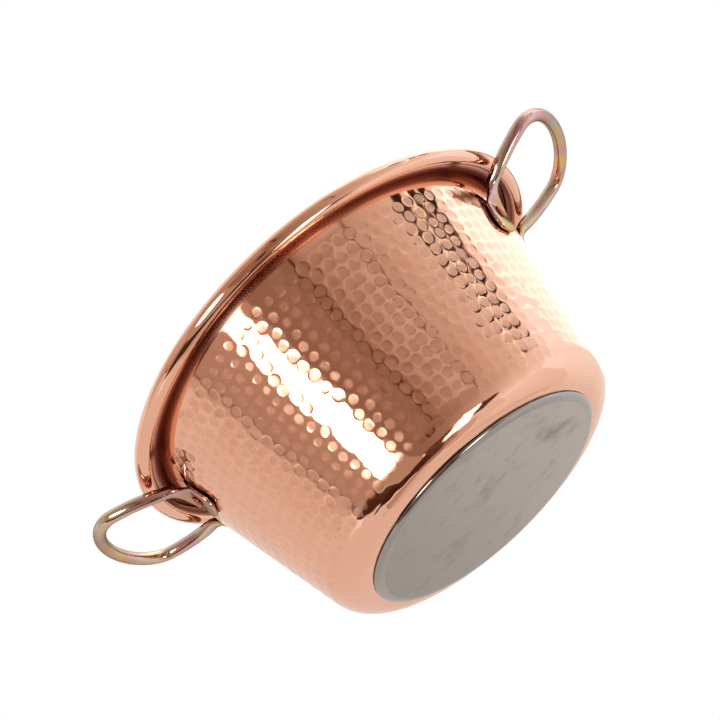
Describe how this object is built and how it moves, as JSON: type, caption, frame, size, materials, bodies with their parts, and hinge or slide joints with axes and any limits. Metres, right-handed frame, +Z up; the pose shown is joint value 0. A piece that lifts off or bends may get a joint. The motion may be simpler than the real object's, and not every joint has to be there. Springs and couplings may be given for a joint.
{
  "type": "polenta pot",
  "caption": "Hammered copper polenta pot with flared wall, rolled wired rim, steel induction base and riveted steel loop handles.",
  "frame": {"origin": "centre of the flat underside of the induction base", "axes": "+Z up the pot's axis to its open mouth, +X towards the right handle, -Y towards the side that the picture shows"},
  "size_m": [0.3332, 0.26, 0.1297],
  "materials": {
    "polished_copper": "hammered and polished bare copper",
    "wire_steel": "plain drawn wire",
    "brushed_steel": "satin face with a polished shoulder",
    "plain_aluminium": "plain rolled disc",
    "zinc_plated_steel_right": "yellow passivated zinc on round steel rod",
    "zinc_plated_steel_left": "yellow passivated zinc on round steel rod",
    "rivet_copper_right_front": "upset bare copper",
    "rivet_copper_right_rear": "upset bare copper",
    "rivet_copper_left_front": "upset bare copper",
    "rivet_copper_left_rear": "upset bare copper"
  },
  "bodies": {
    "root": {"pot_body": "polished_copper", "rim_wire": "wire_steel", "base_cap": "brushed_steel", "base_core": "plain_aluminium", "handle_right": "zinc_plated_steel_right", "handle_left": "zinc_plated_steel_left", "rivet_right_front": "rivet_copper_right_front", "rivet_right_rear": "rivet_copper_right_rear", "rivet_left_front": "rivet_copper_left_front", "rivet_left_rear": "rivet_copper_left_rear"}
  },
  "joints": []
}
